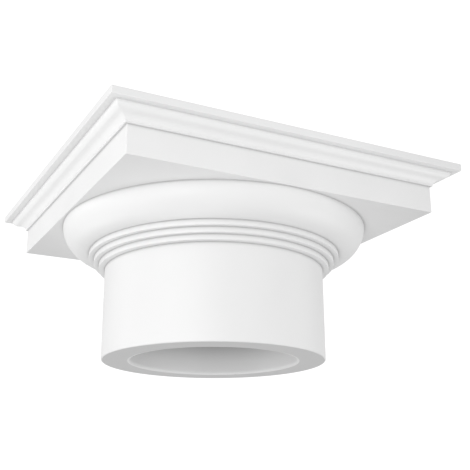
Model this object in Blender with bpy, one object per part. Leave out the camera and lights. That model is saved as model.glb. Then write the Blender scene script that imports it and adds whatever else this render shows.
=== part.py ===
# Doric capital for a round column: a hollow round neck, three annulets, a quarter-round echinus,
# a square abacus and its moulded crown, cast in one piece.
# Metres, +Z up as the capital is built in. The origin is the centre of the neck's underside,
# and the sides of the abacus run along X and Y.

import math

import bmesh
import bpy

# Neck: the plain round part that stands on the column's shaft, bored through for a post
NECK_DIAMETER = 0.250
NECK_WALL = 0.0325              # between the outside and the bore
NECK_HEIGHT = 0.1025            # underside to the lowest annulet

# Annulets: small stepped rings, each standing out past the one below
ANNULET_COUNT = 3
ANNULET_HEIGHT = 0.006
LOWEST_ANNULET_REACH = 0.007    # its face past the neck
ANNULET_STEP = 0.0059           # each further face past the one below

# Echinus: the round cushion under the abacus, a circular arc that ends upright at its top
ECHINUS_FOOT_STEP = 0.0033      # its foot past the highest annulet
ECHINUS_HEIGHT = 0.030
ECHINUS_SWEEP_DEG = 84.0        # angle of the arc, a little under a quarter of a circle

# Abacus: the square block
ABACUS_MARGIN = 0.0027          # its faces past the echinus at its widest
ABACUS_HEIGHT = 0.0299

# Crown: a small fillet, a cyma reversa and the top fillet, mitred round the four sides.
# The cyma is a hollow arc, a short flat and a round arc; slopes are angles from the level.
LOWER_FILLET_REACH = 0.0025     # past the abacus
LOWER_FILLET_HEIGHT = 0.0019
CYMA_HOLLOW_RADIUS = 0.0115
CYMA_FLAT = 0.0024              # length of the straight stretch between the two arcs
CYMA_ROUND_RADIUS = 0.0071
CYMA_FOOT_SLOPE_DEG = 58.0      # where the hollow leaves the lower fillet
CYMA_BEND_SLOPE_DEG = 15.0      # slope of the flat
TOP_FILLET_REACH = 0.0080       # past the cyma's top
TOP_FILLET_HEIGHT = 0.0076

# Fineness of the surfaces
SIDES_PER_QUARTER = 24          # points on a quarter of each circle
ECHINUS_FACETS = 14             # rings of faces up the echinus
CYMA_FACETS = 8                 # strips of faces on each arc of the cyma
SMOOTH_UNDER_DEG = 30.0         # edges sharper than this stay crisp

FOAM_COLOUR = (0.90, 0.90, 0.89, 1.0)
FOAM_ROUGHNESS = 0.55


def clear_scene():
    for thing in list(bpy.data.objects):
        bpy.data.objects.remove(thing, do_unlink=True)


def foam_material():
    material = bpy.data.materials.new("primed_hard_foam")
    material.use_nodes = True
    shader = material.node_tree.nodes["Principled BSDF"]
    shader.inputs["Base Color"].default_value = FOAM_COLOUR
    shader.inputs["Roughness"].default_value = FOAM_ROUGHNESS
    shader.inputs["Metallic"].default_value = 0.0
    return material


def annulet_profile(radius, height):
    """Corners (radius, height) of the stepped rings, from the neck upwards."""
    corners = [(radius, height)]
    reach = LOWEST_ANNULET_REACH
    for _ in range(ANNULET_COUNT):
        radius += reach
        corners.append((radius, height))
        height += ANNULET_HEIGHT
        corners.append((radius, height))
        reach = ANNULET_STEP
    return corners


def echinus_profile(radius, height):
    """Points of the arc from the echinus' foot to its upright top."""
    sweep = math.radians(ECHINUS_SWEEP_DEG)
    arc_radius = ECHINUS_HEIGHT / math.sin(sweep)
    centre = radius - arc_radius * math.cos(sweep)
    top = height + ECHINUS_HEIGHT
    points = []
    for step in range(ECHINUS_FACETS + 1):
        angle = sweep * (1.0 - step / ECHINUS_FACETS)
        points.append((centre + arc_radius * math.cos(angle), top - arc_radius * math.sin(angle)))
    return points


def cyma_profile(half, height):
    """Points of the cyma reversa, from the lower fillet's edge to its upright top."""
    foot_slope = math.radians(CYMA_FOOT_SLOPE_DEG)
    bend_slope = math.radians(CYMA_BEND_SLOPE_DEG)
    points = []
    for step in range(1, CYMA_FACETS + 1):
        slope = foot_slope + (bend_slope - foot_slope) * step / CYMA_FACETS
        across = CYMA_HOLLOW_RADIUS * (math.sin(foot_slope) - math.sin(slope))
        up = CYMA_HOLLOW_RADIUS * (math.cos(slope) - math.cos(foot_slope))
        points.append((half + across, height + up))
    flat_half = points[-1][0] + CYMA_FLAT * math.cos(bend_slope)
    flat_height = points[-1][1] + CYMA_FLAT * math.sin(bend_slope)
    points.append((flat_half, flat_height))
    for step in range(1, CYMA_FACETS + 1):
        slope = bend_slope + (math.pi / 2.0 - bend_slope) * step / CYMA_FACETS
        across = CYMA_ROUND_RADIUS * (math.sin(slope) - math.sin(bend_slope))
        up = CYMA_ROUND_RADIUS * (math.cos(bend_slope) - math.cos(slope))
        points.append((flat_half + across, flat_height + up))
    return points


def crown_profile(half, height):
    """Points (half width, height) of the crown's mouldings, from the abacus to the top."""
    half += LOWER_FILLET_REACH
    points = [(half, height), (half, height + LOWER_FILLET_HEIGHT)]
    points += cyma_profile(*points[-1])
    crest_half, crest_height = points[-1]
    edge = crest_half + TOP_FILLET_REACH
    points.append((edge, crest_height))
    points.append((edge, crest_height + TOP_FILLET_HEIGHT))
    return points


def circle_ring(mesh, radius, height):
    ring = []
    for side in range(4 * SIDES_PER_QUARTER):
        angle = 0.5 * math.pi * side / SIDES_PER_QUARTER
        ring.append(mesh.verts.new((radius * math.cos(angle), radius * math.sin(angle), height)))
    return ring


def square_ring(mesh, half, height):
    corners = ((1, 1), (-1, 1), (-1, -1), (1, -1))
    return [mesh.verts.new((half * x, half * y, height)) for x, y in corners]


def bridge(mesh, lower, upper):
    """Faces between two rings with as many points each, facing outwards when upper is above."""
    count = len(lower)
    for side in range(count):
        after = (side + 1) % count
        mesh.faces.new((lower[side], lower[after], upper[after], upper[side]))


def level_sheet(mesh, circle, square, faces_down):
    """The flat faces between a circle and the square round it, a fan from each corner."""
    count = len(circle)
    for corner in range(4):
        first = corner * SIDES_PER_QUARTER
        faces = []
        for side in range(first, first + SIDES_PER_QUARTER):
            faces.append((square[corner], circle[(side + 1) % count], circle[side]))
        last = circle[(first + SIDES_PER_QUARTER) % count]
        faces.append((square[corner], square[(corner + 1) % 4], last))
        for face in faces:
            mesh.faces.new(tuple(reversed(face)) if faces_down else face)


def build_capital():
    mesh = bmesh.new()
    neck_radius = NECK_DIAMETER / 2.0
    bore_radius = neck_radius - NECK_WALL

    # The round part, from the neck's underside to the abacus
    profile = [(neck_radius, 0.0)] + annulet_profile(neck_radius, NECK_HEIGHT)
    foot_radius = profile[-1][0] + ECHINUS_FOOT_STEP
    profile += echinus_profile(foot_radius, profile[-1][1])
    rounds = [circle_ring(mesh, radius, height) for radius, height in profile]
    for lower, upper in zip(rounds, rounds[1:]):
        bridge(mesh, lower, upper)

    # The square part, from the abacus' underside to the top
    echinus_radius, soffit = profile[-1]
    abacus_half = echinus_radius + ABACUS_MARGIN
    outline = [(abacus_half, soffit), (abacus_half, soffit + ABACUS_HEIGHT)]
    outline += crown_profile(*outline[-1])
    squares = [square_ring(mesh, half, height) for half, height in outline]
    for lower, upper in zip(squares, squares[1:]):
        bridge(mesh, lower, upper)
    level_sheet(mesh, rounds[-1], squares[0], faces_down=True)

    # The bore, through from the underside to the top
    top = outline[-1][1]
    bore_foot = circle_ring(mesh, bore_radius, 0.0)
    bore_top = circle_ring(mesh, bore_radius, top)
    bridge(mesh, bore_foot, rounds[0])
    bridge(mesh, bore_top, bore_foot)
    level_sheet(mesh, bore_top, squares[-1], faces_down=False)

    data = bpy.data.meshes.new("capital")
    mesh.to_mesh(data)
    mesh.free()
    data.shade_smooth()
    data.set_sharp_from_angle(angle=math.radians(SMOOTH_UNDER_DEG))
    data.materials.append(foam_material())
    capital = bpy.data.objects.new("capital", data)
    bpy.context.collection.objects.link(capital)
    return capital


clear_scene()
build_capital()
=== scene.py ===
import math

import bpy
import numpy as np
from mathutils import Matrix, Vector


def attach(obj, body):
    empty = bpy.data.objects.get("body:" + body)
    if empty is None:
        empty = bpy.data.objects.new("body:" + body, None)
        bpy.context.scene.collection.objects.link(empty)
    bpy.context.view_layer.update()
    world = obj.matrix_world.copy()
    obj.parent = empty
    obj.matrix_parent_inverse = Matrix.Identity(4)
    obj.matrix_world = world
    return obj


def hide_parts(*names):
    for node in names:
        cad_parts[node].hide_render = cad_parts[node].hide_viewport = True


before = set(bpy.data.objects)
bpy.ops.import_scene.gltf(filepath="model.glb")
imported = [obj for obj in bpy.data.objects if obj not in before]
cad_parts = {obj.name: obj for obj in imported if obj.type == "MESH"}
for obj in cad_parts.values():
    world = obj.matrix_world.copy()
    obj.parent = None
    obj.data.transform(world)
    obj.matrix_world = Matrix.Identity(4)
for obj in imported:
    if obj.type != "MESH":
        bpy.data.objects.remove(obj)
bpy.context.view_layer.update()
print("frame loaded:", ", ".join(sorted(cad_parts)))


# sRGB hex turned linear: a straight part for the darkest tones, a power of 2.4 above them
def linearColour(hexColour):
    channels = [int(hexColour[at:at + 2], 16) / 255 for at in (1, 3, 5)]
    linear = [c / 12.92 if c <= 0.04045 else ((c + 0.055) / 1.055) ** 2.4 for c in channels]
    return (*linear, 1.0)


# Adds a node: settings are its own properties, inputs are numbers, colours or another node's output
def addNode(tree, kind, settings=None, inputs=None):
    node = tree.nodes.new(kind)
    for name, value in (settings or {}).items():
        setattr(node, name, value)
    for name, value in (inputs or {}).items():
        if isinstance(value, bpy.types.NodeSocket):
            tree.links.new(value, node.inputs[name])
        else:
            node.inputs[name].default_value = value
    return node


# the capital, in metres and degrees
capitalSizes = {
    "neckRadius": 0.125,
    "boreRadius": 0.0925,
    "neckHeight": 0.1025,
    "annuletCount": 3,
    "annuletHeight": 0.006,
    "lowestAnnuletReach": 0.007,
    "annuletStep": 0.0059,
    "echinusFootStep": 0.0033,
    "echinusHeight": 0.030,
    "echinusSweep": 84,
    "abacusMargin": 0.0027,
    "abacusHeight": 0.0299,
    "lowerFilletReach": 0.0025,
    "lowerFilletHeight": 0.0019,
    "cymaHollowRadius": 0.0115,
    "cymaFlat": 0.0024,       # the straight stretch between its two arcs
    "cymaRoundRadius": 0.0071,
    "cymaFootSlope": 58,
    "cymaBendSlope": 15,
    "topFilletReach": 0.0080,
    "topFilletHeight": 0.0076,
    "arris": 0.0006,          # how far the rounding of an outer corner reaches
    "crease": 0.0003,         # the same for an inner corner
    "boreLip": 0.0030,        # for the bore's foot
    "neckLip": 0.0012,        # and for the neck's foot
    "roundingLimit": 0.7,     # how much of its part of a short flat a rounding may take
    "guardReach": 1.35,       # a guard point's distance from its corner, times the rounding's reach
    "mitreRadius": 0.0009,    # rounding of the upright corners of the square part
    "clearance": 0.0009,      # from a rounded corner to where round rings start to turn square
    # fineness of the skin
    "sideSteps": 74,          # faces along each side of a ring
    "mitreSteps": 6,          # faces round each corner of a ring
    "arcSteps": 18,           # rings up the echinus and up each arc of the cyma
    "cornerSteps": 3,         # faces across a rounding
    "soffitRows": (0, 0.03, 0.08, 0.2, 0.5, 1),  # shares of the way from round to square
    "creaseRows": (0.0004, 0.0008, 0.0014, 0.0022, 0.0035),  # distances of extra rings from a crease
    # heights of the rings in the bore, which follow the change of its painted shade
    "boreRows": (0.187, 0.171, 0.154, 0.137, 0.120, 0.101, 0.082, 0.065, 0.048, 0.039, 0.031, 0.023, 0.015),
    # painted shade, a greyer tone in the creases, on the neck's underside, toward the soffit's corners and
    # in the bore
    "creaseReach": 0.0012,    # how far the painted shade of a crease spreads
    "footShade": 0.12,        # its share at the foot of the cyma, where other creases have 1
    "crestShade": 0.6,        # and under the top fillet
    "undersideShadeShare": 0.36,  # share of painted shade on the neck's underside
    "soffitCornerShadeShare": 0.165,    # and at the corners of the soffit
    "boreShadeReach": 0.043,      # how far into the bore from either end the painted shade takes to set in
}

samePlace = 1e-6  # metres between two rows that count as one
leastStep = 1e-5  # metres between an added row and the next


# Points of an arc from one slope to another: it goes across by the radius times the growth of the sine,
# and up by the radius times the fall of the cosine. A hollow arc goes the other way on both
def arcPoints(start, radius, fromSlope, toSlope, steps, hollow=False):
    slopes = np.radians(np.linspace(fromSlope, toSlope, steps + 1))
    across = radius * (np.sin(slopes) - np.sin(slopes[0]))
    up = radius * (np.cos(slopes[0]) - np.cos(slopes))
    turn = -1 if hollow else 1
    return np.stack([start[0] + turn * across, start[1] + turn * up], axis=1)


# Outline of one side: down the bore, up the round outside, out along the soffit, up the square crown
# and back over the top. Its rows are radius or half width, height, how far the rounding of the corner
# reaches, 0 for round or 1 for square, and the share of painted shade in an inner corner
def capitalOutline(sizes):
    arris, crease, steps = sizes["arris"], sizes["crease"], sizes["arcSteps"]
    boreRadius, neckRadius = sizes["boreRadius"], sizes["neckRadius"]
    rows = [(boreRadius, 0, sizes["boreLip"], 0, 0), (neckRadius, 0, sizes["neckLip"], 0, 0)]

    radius, height = neckRadius, sizes["neckHeight"]
    rows.append((radius, height, crease, 0, 1))
    for ring in range(sizes["annuletCount"]):
        radius += sizes["annuletStep"] if ring else sizes["lowestAnnuletReach"]
        rows.append((radius, height, arris, 0, 0))
        height += sizes["annuletHeight"]
        rows.append((radius, height, crease, 0, 1))

    sweep = sizes["echinusSweep"]
    echinusRadius = sizes["echinusHeight"] / math.sin(math.radians(sweep))
    foot = (radius + sizes["echinusFootStep"], height)
    echinus = arcPoints(foot, echinusRadius, 90 - sweep, 90, steps)
    rows += [(*point, 0, 0, 0) for point in echinus[:-1]]
    rows.append((*echinus[-1], crease, 0, 1))

    half, height = echinus[-1, 0] + sizes["abacusMargin"], echinus[-1, 1]
    inside, outside = echinus[-1, 0] + sizes["clearance"], half - sizes["clearance"]
    rows += [(inside + (outside - inside) * share, height, 0, share, 0) for share in sizes["soffitRows"]]
    rows.append((half, height, arris, 1, 0))
    height += sizes["abacusHeight"]
    rows.append((half, height, crease, 1, 1))
    half += sizes["lowerFilletReach"]
    rows.append((half, height, arris, 1, 0))
    height += sizes["lowerFilletHeight"]

    footSlope, bendSlope = sizes["cymaFootSlope"], sizes["cymaBendSlope"]
    hollow = arcPoints((half, height), sizes["cymaHollowRadius"], footSlope, bendSlope, steps, hollow=True)
    bend = math.radians(bendSlope)
    flatEnd = hollow[-1] + sizes["cymaFlat"] * np.array([math.cos(bend), math.sin(bend)])
    bulge = arcPoints(flatEnd, sizes["cymaRoundRadius"], bendSlope, 90, steps)
    rows.append((half, height, crease, 1, sizes["footShade"]))
    rows += [(*point, 0, 1, 0) for point in [*hollow[1:], *bulge[:-1]]]
    rows.append((*bulge[-1], crease, 1, sizes["crestShade"]))

    half, height = bulge[-1, 0] + sizes["topFilletReach"], bulge[-1, 1]
    top = height + sizes["topFilletHeight"]
    rows += [(half, height, arris, 1, 0), (half, top, arris, 1, 0)]
    rows.append((half - sizes["clearance"], top, 0, 1, 0))
    bore = [(boreRadius + sizes["clearance"], top, 0, 0, 0), (boreRadius, top, arris, 0, 0)]
    bore += [(boreRadius, height, 0, 0, 0) for height in sizes["boreRows"]]
    return np.array(bore + rows)


# Rounds each corner of the closed outline by a quadratic curve, (1-t)^2 of the point before, 2t(1-t)
# of the corner and t^2 of the point after, with a guard point beyond either end so that flats shade flat.
# The path's rows are radius or half width, height and squareness
def softenCorners(rows, sizes):
    corner, reach = rows[:, :2], rows[:, 2:3]
    ends = []
    for side in (1, -1):
        away = np.roll(corner, side, axis=0) - corner
        length = np.linalg.norm(away, axis=1, keepdims=True)
        share = reach / np.maximum(reach + np.roll(reach, side, axis=0), samePlace)
        near = np.minimum(reach, sizes["roundingLimit"] * share * length)
        ends.append([corner + away / length * near * times for times in (1, sizes["guardReach"])])
    (start, guardBefore), (end, guardAfter) = ends
    t = np.linspace(0, 1, sizes["cornerSteps"] + 1)[None, :, None]
    curve = (1 - t) ** 2 * start[:, None] + 2 * t * (1 - t) * corner[:, None] + t ** 2 * end[:, None]
    path = np.concatenate([guardBefore[:, None], curve, guardAfter[:, None]], axis=1)
    squareness = np.repeat(rows[:, 3], path.shape[1])
    path = np.column_stack([path.reshape(-1, 2), squareness])
    moved = np.linalg.norm((path - np.roll(path, 1, axis=0))[:, :2], axis=1) > samePlace
    return path[moved]


# Adds rows to the closed path at the given distances along it from each crease, on straight lines
# between its own rows, so that the painted shade of the crease can fall off from one to the next
def addRows(path, creases, distances):
    closed = np.vstack([path, path[:1]])
    lengths = np.linalg.norm(np.diff(closed[:, :2], axis=0), axis=1)
    along = np.concatenate([[0], np.cumsum(lengths)])
    nearest = np.argmin(np.linalg.norm(path[None, :, :2] - creases[:, None, :2], axis=2), axis=1)
    places = (along[nearest][:, None] + np.concatenate([-distances, distances])).ravel()
    gaps = np.min(np.abs(places[:, None] - along[None, :]), axis=1)
    places = np.sort(np.concatenate([along[:-1], places[gaps > leastStep]]))
    places = places[np.diff(places, prepend=-1) > leastStep]
    return np.stack([np.interp(places, along, column) for column in closed.T], axis=1)


# Plans over the same steps: a circle, a square that waits at each corner, and the turn round each of
# its corners. A round ring is its radius times the first. A square ring is its half width less the
# mitre's radius, times the second, plus the mitre's radius times the third
def ringPlans(sizes):
    sideSteps, mitreSteps = sizes["sideSteps"], sizes["mitreSteps"]
    quarter = sideSteps + mitreSteps
    along = np.sin(np.pi / 2 * np.linspace(-1, 1, sideSteps, endpoint=False))
    turn = np.pi / 2 * np.arange(mitreSteps) / mitreSteps
    base = np.stack([np.ones(quarter), np.concatenate([along, np.ones(mitreSteps)])], axis=1)
    mitre = np.stack([
        np.concatenate([np.ones(sideSteps), np.cos(turn)]),
        np.concatenate([np.zeros(sideSteps), np.sin(turn)]),
    ], axis=1)
    angle = np.pi / 2 * np.arange(4)
    turns = np.array([[np.cos(angle), -np.sin(angle)], [np.sin(angle), np.cos(angle)]]).transpose(2, 0, 1)
    squareBase = np.einsum("tab,qb->tqa", turns, base).reshape(-1, 2)
    squareMitre = np.einsum("tab,qb->tqa", turns, mitre).reshape(-1, 2)
    around = np.pi / 2 * (np.arange(4 * quarter) - sideSteps / 2) / quarter
    circle = np.stack([np.cos(around), np.sin(around)], axis=1)
    return circle, squareBase, squareMitre


# Closed skin over a grid of rings: face (i, j) joins points j and j+1 of rings i and i+1, and both
# ways round run back into their start
def ringSkin(name, points):
    rings, steps = points.shape[:2]
    ring = np.arange(rings)[:, None] * steps
    step = np.arange(steps)[None, :]
    nextRing, nextStep = np.roll(ring, -1, axis=0), np.roll(step, -1, axis=1)
    corners = [ring + step, ring + nextStep, nextRing + nextStep, nextRing + step]
    faces = np.stack(corners, axis=-1).reshape(-1, 4)
    mesh = bpy.data.meshes.new(name)
    mesh.from_pydata(points.reshape(-1, 3).tolist(), [], faces.tolist())
    mesh.shade_smooth()
    piece = bpy.data.objects.new(name, mesh)
    bpy.context.scene.collection.objects.link(piece)
    return piece


# Painted shade in the creases: each inner corner's share times e to the minus distance over reach, and the
# most of these at each point. The distance is taken from the axis on round rings and along X or Y on square
# ones
def creasePaintedShade(points, creases, reach):
    fromAxis = np.linalg.norm(points[..., :2], axis=-1)
    fromMiddle = np.max(np.abs(points[..., :2]), axis=-1)
    across = np.where(creases[:, 3] > 0, fromMiddle[..., None], fromAxis[..., None])
    apart = np.hypot(across - creases[:, 0], points[..., 2:] - creases[:, 1])
    return np.max(creases[:, 4] * np.exp(-apart / reach), axis=-1)


# Share of painted shade at each point: on the neck's underside an even share, on the soffit a share
# that grows evenly from the echinus to the corners, and in the bore the product, for both of its ends,
# of 1 less e to the minus cube of the distance from that end over the reach. Elsewhere none
def paintedShadeBelowAndInBore(points, sizes):
    radius, height = np.linalg.norm(points[..., :2], axis=-1), points[..., 2]
    lipEdge = sizes["boreRadius"] + sizes["boreLip"]
    inBore = (radius < lipEdge) & (height > sizes["boreLip"])
    neckEdge = sizes["neckRadius"] - sizes["neckLip"]
    underside = (height < sizes["neckLip"]) & (radius > lipEdge) & (radius < neckEdge)
    soffit = sizes["neckHeight"] + sizes["annuletCount"] * sizes["annuletHeight"] + sizes["echinusHeight"]
    onSoffit = np.isclose(height, soffit)
    outwards = (radius - radius[onSoffit].min()) / np.ptp(radius[onSoffit])
    fromFoot = 1 - np.exp(-(height / sizes["boreShadeReach"]) ** 3)
    fromTop = 1 - np.exp(-((height.max() - height) / sizes["boreShadeReach"]) ** 3)
    shares = [fromFoot * fromTop, sizes["undersideShadeShare"], sizes["soffitCornerShadeShare"] * outwards]
    return np.select([inBore, underside, onSoffit], shares, 0.0)


# The capital: the softened outline carried round the plans, one ring for each of its rows
def makeCapital(sizes):
    outline = capitalOutline(sizes)
    creases = outline[outline[:, 4] > 0]
    path = addRows(softenCorners(outline, sizes), creases, np.array(sizes["creaseRows"]))
    circle, square, corners = ringPlans(sizes)
    mitre = sizes["mitreRadius"]
    radius, squareness = path[:, 0, None, None], path[:, 2, None, None]
    plan = (1 - squareness) * radius * circle
    plan += squareness * ((radius - mitre) * square + mitre * corners)
    heights = np.broadcast_to(path[:, 1, None, None], plan.shape[:2] + (1,))
    points = np.concatenate([plan, heights], axis=2)
    piece = ringSkin("moulded_capital", points)
    # the painted shade rides on two attributes: one for the creases, one for the neck's underside, the
    # soffit's corners and the bore
    for name, values in (
        ("creasePaintedShade", creasePaintedShade(points, creases, sizes["creaseReach"])),
        ("paintedShadeBelowAndInBore", paintedShadeBelowAndInBore(points, sizes)),
    ):
        piece.data.attributes.new(name, "FLOAT", "POINT").data.foreach_set("value", values.ravel())
    return piece


# Millimetres between repeats turned into the scale of a pattern: repeats to the metre
def patternScale(millimetres):
    return 1000 / millimetres


primerLook = {
    "tone": "#E9E9E9",
    "shadedTone": "#E5E5E5",  # the darker side of the clouds
    "creaseShadeTone": "#A8A8A8",  # painted shade in an inner corner
    "creaseShadeShare": 0.8,       # how much of that tone the deepest part of a crease takes
    "belowShadeTone": "#8A8A8A",    # painted shade on the neck's underside, toward the soffit's corners and in the bore
    "cloudSize": 60,          # millimetres between the broad, hardly seen patches of tone
    "cloudDetail": 3.0,
    "cloudRange": (0.3, 0.7),  # the noise that gets the least and the most roughness
    "roughness": (0.46, 0.56),
    "peelSize": 1.6,          # millimetres between the dimples of the sprayed primer
    "peelDetail": 2.0,
    "peelDepth": 0.00002,     # metres
    "peelStrength": 0.5,
    "ior": 1.48,              # acrylic primer
}

# sockets that share a name with others of their node and so go by number
mixShare, mixFrom, mixTo, mixResult = 0, 6, 7, 2
firstFactor, secondFactor = 0, 1


# Moulded rigid urethane foam under a sprayed white primer: an even, neutral white with a matt to satin
# sheen, hardly seen clouds and the shallow dimples that spraying leaves, with painted shade, a greyer
# tone, in the inner corners, on the neck's underside, toward the corners of the soffit and in the bore
def sprayedPrimer(look):
    material = bpy.data.materials.new("white_primer_sprayed_on_moulded_urethane")
    material.use_nodes = True
    tree = material.node_tree
    shader = tree.nodes["Principled BSDF"]
    shader.inputs["Metallic"].default_value = 0.0
    shader.inputs["IOR"].default_value = look["ior"]
    place = addNode(tree, "ShaderNodeTexCoord")
    clouds = addNode(tree, "ShaderNodeTexNoise", inputs={
        "Vector": place.outputs["Object"],
        "Scale": patternScale(look["cloudSize"]),
        "Detail": look["cloudDetail"],
    })
    tone = addNode(tree, "ShaderNodeMix", {"data_type": "RGBA"}, {
        mixShare: clouds.outputs["Fac"],
        mixFrom: linearColour(look["shadedTone"]),
        mixTo: linearColour(look["tone"]),
    })
    # painted shade in the creases: a greyer tone mixed in by the crease attribute
    creaseShadeValue = addNode(tree, "ShaderNodeAttribute", {"attribute_name": "creasePaintedShade"})
    creaseShadeAmount = addNode(tree, "ShaderNodeMath", {"operation": "MULTIPLY"}, {
        firstFactor: creaseShadeValue.outputs["Fac"],
        secondFactor: look["creaseShadeShare"],
    })
    creaseShadedTone = addNode(tree, "ShaderNodeMix", {"data_type": "RGBA"}, {
        mixShare: creaseShadeAmount.outputs["Value"],
        mixFrom: tone.outputs[mixResult],
        mixTo: linearColour(look["creaseShadeTone"]),
    })
    # painted shade on the neck's underside, toward the soffit's corners and in the bore: a greyer tone
    # mixed in by its attribute
    belowShadeValue = addNode(tree, "ShaderNodeAttribute", {"attribute_name": "paintedShadeBelowAndInBore"})
    belowShadedTone = addNode(tree, "ShaderNodeMix", {"data_type": "RGBA"}, {
        mixShare: belowShadeValue.outputs["Fac"],
        mixFrom: creaseShadedTone.outputs[mixResult],
        mixTo: linearColour(look["belowShadeTone"]),
    })
    tree.links.new(belowShadedTone.outputs[mixResult], shader.inputs["Base Color"])
    gloss = addNode(tree, "ShaderNodeMapRange", inputs={
        "Value": clouds.outputs["Fac"],
        "From Min": look["cloudRange"][0],
        "From Max": look["cloudRange"][1],
        "To Min": look["roughness"][0],
        "To Max": look["roughness"][1],
    })
    tree.links.new(gloss.outputs["Result"], shader.inputs["Roughness"])
    peel = addNode(tree, "ShaderNodeTexNoise", inputs={
        "Vector": place.outputs["Object"],
        "Scale": patternScale(look["peelSize"]),
        "Detail": look["peelDetail"],
    })
    dimples = addNode(tree, "ShaderNodeBump", inputs={
        "Strength": look["peelStrength"],
        "Distance": look["peelDepth"],
        "Height": peel.outputs["Fac"],
    })
    tree.links.new(dimples.outputs["Normal"], shader.inputs["Normal"])
    return material


capital = makeCapital(capitalSizes)
capital.data.materials.append(sprayedPrimer(primerLook))
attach(capital, "root")
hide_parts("capital")
print("capital made:", len(capital.data.polygons), "faces")


studio = {
    "floorDrop": 2.2,         # metres from the capital's foot down to the floor
    "floorSize": 14,
    "floorTone": "#F1F1F1",
    "floorRoughness": 0.9,
    "skyLight": 0.625,        # light of the white surround
    "skyShown": 1.1,          # its brightness where the camera sees it
    "lampAim": (0, 0, 0.1),   # the point that the lamps face
    # round soft lamps: azimuth and elevation in degrees as the camera's, metres from the point that
    # they face, width in metres, watts
    "lamps": {
        "low_back_left_softbox": (-140, -35, 1.02, 0.4, 1.9),
        "low_right_softbox": (65, -35, 1.02, 0.4, 2.0),
        "front_softbox": (-45, -14, 1.02, 0.4, 3.2),
        "high_left_softbox": (-70, 8, 1.02, 0.4, 1.25),
        "high_right_softbox": (65, 8, 1.02, 0.4, 0.9),
        "high_back_left_spot": (-110, 10, 0.5, 0.2, 0.19),
        "high_front_right_spot": (5, 10, 0.5, 0.2, 0.15),
    },
}

photoView = {
    "azimuth": -27,           # degrees round from the front, below 0 to the left
    "elevation": -17.9,       # degrees, below 0 looks up from under the target
    "distance": 0.9835,       # metres from the target
    "target": (0.00939, -0.00478, 0.1496),
    "lens": 64.14,            # millimetres, as the width of the sensor
    "sensor": 36,
    "shiftX": 0.0259,         # share of the picture's width
    "clipStart": 0.05,
}


# Places a thing to look at a target: it stands off by the distance times (sine of azimuth times cosine of
# elevation, minus cosine of azimuth times cosine of elevation, sine of elevation)
def lookFrom(thing, target, azimuth, elevation, distance):
    turn, tilt = math.radians(azimuth), math.radians(elevation)
    back = Vector((math.sin(turn) * math.cos(tilt), -math.cos(turn) * math.cos(tilt), math.sin(tilt)))
    thing.location = Vector(target) + back * distance
    thing.rotation_mode = "QUATERNION"
    thing.rotation_quaternion = (-back).to_track_quat("-Z", "Y")
    bpy.context.scene.collection.objects.link(thing)


def makeFloor(setup):
    half = setup["floorSize"] / 2
    height = -setup["floorDrop"]
    corners = [(-half, -half, height), (half, -half, height), (half, half, height), (-half, half, height)]
    mesh = bpy.data.meshes.new("pale_floor")
    mesh.from_pydata(corners, [], [(0, 1, 2, 3)])
    floor = bpy.data.objects.new("pale_floor", mesh)
    bpy.context.scene.collection.objects.link(floor)
    paint = bpy.data.materials.new("matt_studio_floor_paint")
    paint.use_nodes = True
    shader = paint.node_tree.nodes["Principled BSDF"]
    shader.inputs["Base Color"].default_value = linearColour(setup["floorTone"])
    shader.inputs["Roughness"].default_value = setup["floorRoughness"]
    mesh.materials.append(paint)


# Even white surround, which gives less light than its brightness behind the capital would
def makeSurround(setup):
    world = bpy.data.worlds.new("white_studio")
    world.use_nodes = True
    bpy.context.scene.world = world
    tree = world.node_tree
    tree.nodes.clear()
    path = addNode(tree, "ShaderNodeLightPath")
    strength = addNode(tree, "ShaderNodeMapRange", inputs={
        "Value": path.outputs["Is Camera Ray"],
        "To Min": setup["skyLight"],
        "To Max": setup["skyShown"],
    })
    light = addNode(tree, "ShaderNodeBackground", inputs={
        "Color": linearColour("#FFFFFF"),
        "Strength": strength.outputs["Result"],
    })
    addNode(tree, "ShaderNodeOutputWorld", inputs={"Surface": light.outputs["Background"]})


def makeLamps(setup):
    for name, (azimuth, elevation, distance, width, watts) in setup["lamps"].items():
        data = bpy.data.lights.new(name, "AREA")
        data.shape = "DISK"
        data.size = width
        data.energy = watts
        lamp = bpy.data.objects.new(name, data)
        lamp.visible_camera = False
        lookFrom(lamp, setup["lampAim"], azimuth, elevation, distance)


def makeCamera(view):
    data = bpy.data.cameras.new("photo_camera")
    data.lens = view["lens"]
    data.sensor_width = view["sensor"]
    data.shift_x = view["shiftX"]
    data.clip_start = view["clipStart"]
    camera = bpy.data.objects.new("photo_camera", data)
    lookFrom(camera, view["target"], view["azimuth"], view["elevation"], view["distance"])
    bpy.context.scene.camera = camera


makeFloor(studio)
makeSurround(studio)
makeLamps(studio)
makeCamera(photoView)
bpy.context.scene.view_settings.view_transform = "Standard"
print("studio and camera placed")
